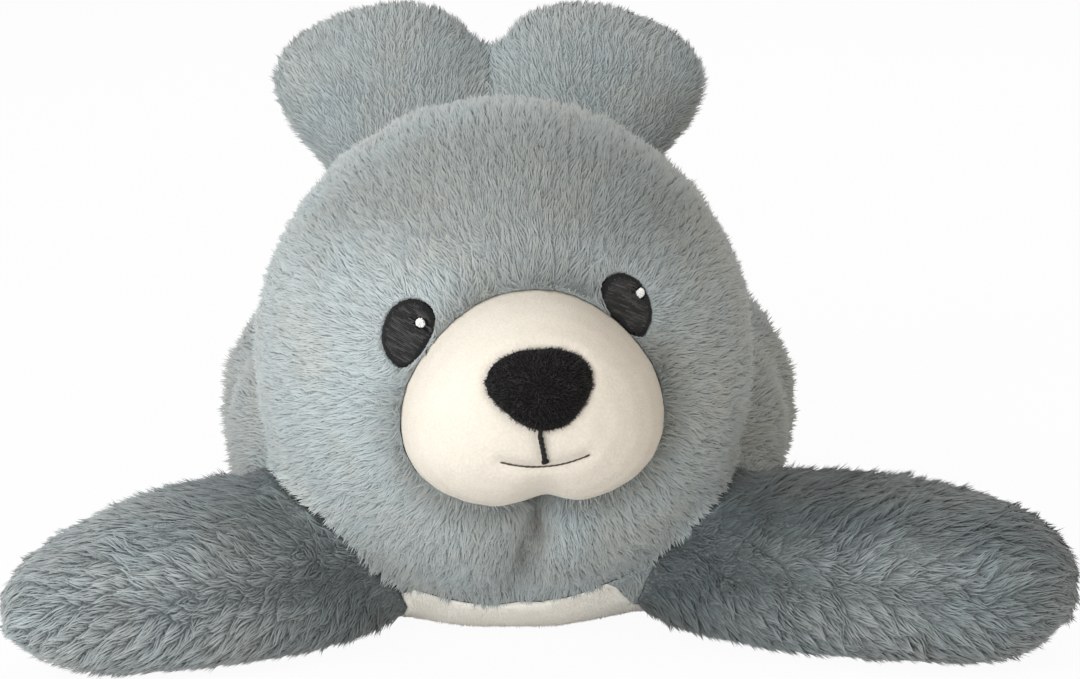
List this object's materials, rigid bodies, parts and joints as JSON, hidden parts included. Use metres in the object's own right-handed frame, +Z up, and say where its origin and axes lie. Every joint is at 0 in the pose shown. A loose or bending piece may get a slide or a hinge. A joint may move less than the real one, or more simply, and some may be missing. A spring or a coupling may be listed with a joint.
{
  "type": "plush seal",
  "caption": "Stuffed plush seal lying on its belly, with a ball head, short-pile muzzle, embroidered eyes and mouth, long-pile front flippers and a raised heart-shaped tail.",
  "frame": {"origin": "bottom centre of the bounding box, on the surface the seal lies on", "axes": "+Z up, +Y from the face to the tail, +X to the seal's own left"},
  "size_m": [0.3188, 0.371, 0.1621],
  "materials": {
    "grey_fur": "medium-pile plush, matt",
    "flipper_fur": "long ruffled plush, matt",
    "cream_pile": "short-pile plush, matt",
    "muzzle_velour": "short smooth velour, matt",
    "black_pile": "short fuzzy pile, matt",
    "black_thread": "embroidery thread, satin",
    "mouth_thread": "fine sewing thread, satin",
    "charcoal_thread": "embroidery thread, satin",
    "white_thread": "embroidery thread, satin"
  },
  "bodies": {
    "root": {"head": "grey_fur", "body": "grey_fur", "belly_panel": "cream_pile", "muzzle": "muzzle_velour", "nose": "black_pile", "philtrum_thread": "black_thread", "mouth_thread": "mouth_thread", "eye_left": "charcoal_thread", "eye_right": "charcoal_thread", "eye_glint_left": "white_thread", "eye_glint_right": "white_thread", "front_flipper_left": "flipper_fur", "front_flipper_right": "flipper_fur", "rear_flipper_left": "grey_fur", "rear_flipper_right": "grey_fur"}
  },
  "joints": []
}
